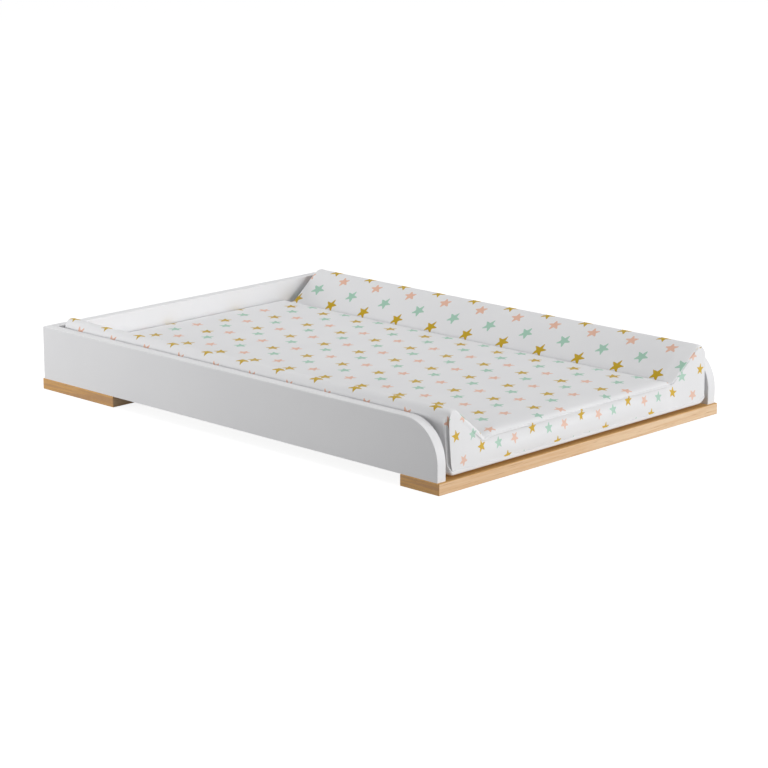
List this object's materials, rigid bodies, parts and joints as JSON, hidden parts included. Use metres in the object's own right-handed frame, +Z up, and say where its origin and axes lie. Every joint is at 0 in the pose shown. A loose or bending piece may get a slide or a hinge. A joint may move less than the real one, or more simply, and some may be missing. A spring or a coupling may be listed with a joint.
{
  "type": "changing top",
  "caption": "Three-sided white tray on oak rails with a lift-out wedge-sided changing mat, set on a cot or chest to change a baby.",
  "frame": {"origin": "under the middle of the tray, on the surface that the two oak rails stand on", "axes": "+X to the right, +Y from the open front to the rear panel, +Z up"},
  "size_m": [0.577, 0.8, 0.106],
  "materials": {
    "white_lacquer": "satin white lacquer on fibreboard",
    "white_hardboard": "white-faced hardboard",
    "oak": "matt oiled oak",
    "zinc_steel": "zinc-plated",
    "dowel_wood": "bare beech",
    "white_plastic": "moulded",
    "printed_film": "wipe-clean coated film, white with small stars",
    "plain_film": "wipe-clean film, plain white",
    "foam": "open-cell foam"
  },
  "bodies": {
    "tray": {"left_side_panel": "white_lacquer", "right_side_panel": "white_lacquer", "rear_panel": "white_lacquer", "base_panel": "white_hardboard", "front_rail": "oak", "rear_rail": "oak", "centre_slat": "oak", "rail_screws": "zinc_steel", "base_nails": "zinc_steel", "panel_dowels": "dowel_wood", "slat_dowels": "dowel_wood", "cam_bolts": "zinc_steel", "cam_locks": "zinc_steel", "cam_caps": "white_plastic"},
    "mat": {"mat_top_cover": "printed_film", "mat_front_end": "printed_film", "mat_rear_end": "printed_film", "mat_base_sheet": "plain_film", "foam_slab": "foam", "foam_wedge_left": "foam", "foam_wedge_right": "foam"}
  },
  "joints": [
    {"name": "mat_lift", "type": "slide", "parent": "tray", "child": "mat", "axis": [0, 0, 1], "range_m": [0, 0.12]}
  ]
}
